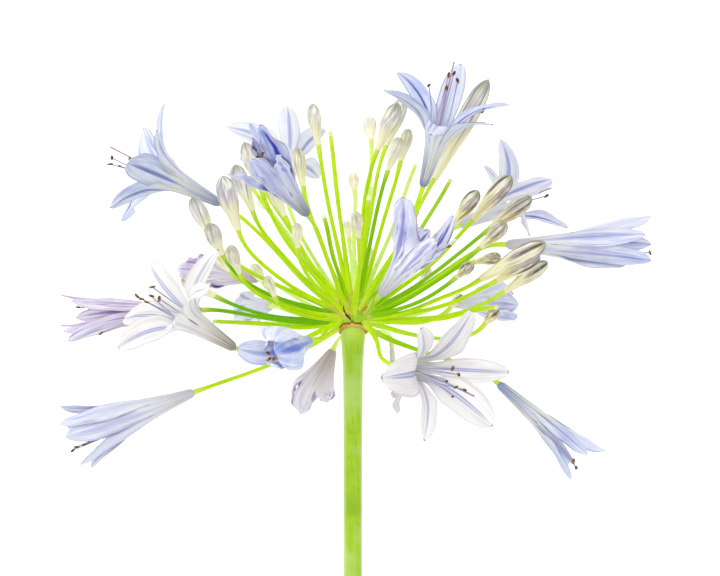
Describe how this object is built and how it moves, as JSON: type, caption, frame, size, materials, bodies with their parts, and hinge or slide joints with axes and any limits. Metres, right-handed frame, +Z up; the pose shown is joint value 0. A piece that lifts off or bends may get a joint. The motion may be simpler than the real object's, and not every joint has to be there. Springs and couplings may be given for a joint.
{
  "type": "agapanthus flower stem",
  "caption": "Cut agapanthus flower stem, laid down: a slim green scape that ends in a round head of stalked blue-violet and white flowers and cream buds.",
  "frame": {"origin": "middle of the stem's bounding box, on the surface that it lies on", "axes": "+Z up from the surface; +Y from the cut end of the scape towards the head; +X to the right, seen from above with +Y up the page"},
  "size_m": [0.2101, 0.3877, 0.1636],
  "materials": {
    "stem_green": "smooth, slightly waxy green plant tissue",
    "papery_brown": "dry, matt, papery",
    "bud_cream": "silky, closed petals",
    "petal_lavender": "silky, thin, lets light through",
    "petal_ivory": "silky, thin, lets light through",
    "petal_blue_violet": "silky, thin, lets light through",
    "petal_wilted": "limp, creased",
    "petal_pale": "silky, thin, lets light through"
  },
  "bodies": {
    "root": {"bloom_centre_front": "petal_lavender", "bloom_far_left": "petal_wilted", "bloom_front": "petal_blue_violet", "bloom_hanging": "petal_wilted", "bloom_left_back": "petal_pale", "bloom_left_front": "petal_ivory", "bloom_left_low_back": "petal_wilted", "bloom_lower_front": "petal_ivory", "bloom_lower_left": "petal_lavender", "bloom_lower_right": "petal_lavender", "bloom_right": "petal_lavender", "bloom_right_back": "petal_pale", "bloom_right_low_back": "petal_blue_violet", "bloom_top_right": "petal_lavender", "bloom_upper_back": "petal_pale", "bloom_upper_front": "petal_blue_violet", "bloom_upper_left": "petal_lavender", "bloom_withered": "petal_wilted", "bract_scar": "papery_brown", "bud_01": "bud_cream", "bud_02": "bud_cream", "bud_03": "bud_cream", "bud_04": "bud_cream", "bud_05": "bud_cream", "bud_06": "bud_cream", "bud_07": "bud_cream", "bud_08": "bud_cream", "bud_09": "bud_cream", "bud_10": "bud_cream", "bud_11": "bud_cream", "bud_12": "bud_cream", "bud_13": "bud_cream", "bud_14": "bud_cream", "bud_15": "bud_cream", "bud_16": "bud_cream", "bud_17": "bud_cream", "bud_18": "bud_cream", "bud_19": "bud_cream", "bud_20": "bud_cream", "bud_21": "bud_cream", "bud_22": "bud_cream", "bud_23": "bud_cream", "bud_24": "bud_cream", "bud_25": "bud_cream", "bud_26": "bud_cream", "bud_27": "bud_cream", "bud_28": "bud_cream", "bud_29": "bud_cream", "bud_30": "bud_cream", "bud_31": "bud_cream", "bud_32": "bud_cream", "bud_33": "bud_cream", "bud_34": "bud_cream", "bud_35": "bud_cream", "bud_36": "bud_cream", "bud_37": "bud_cream", "bud_38": "bud_cream", "bud_39": "bud_cream", "scape": "stem_green"}
  },
  "joints": []
}
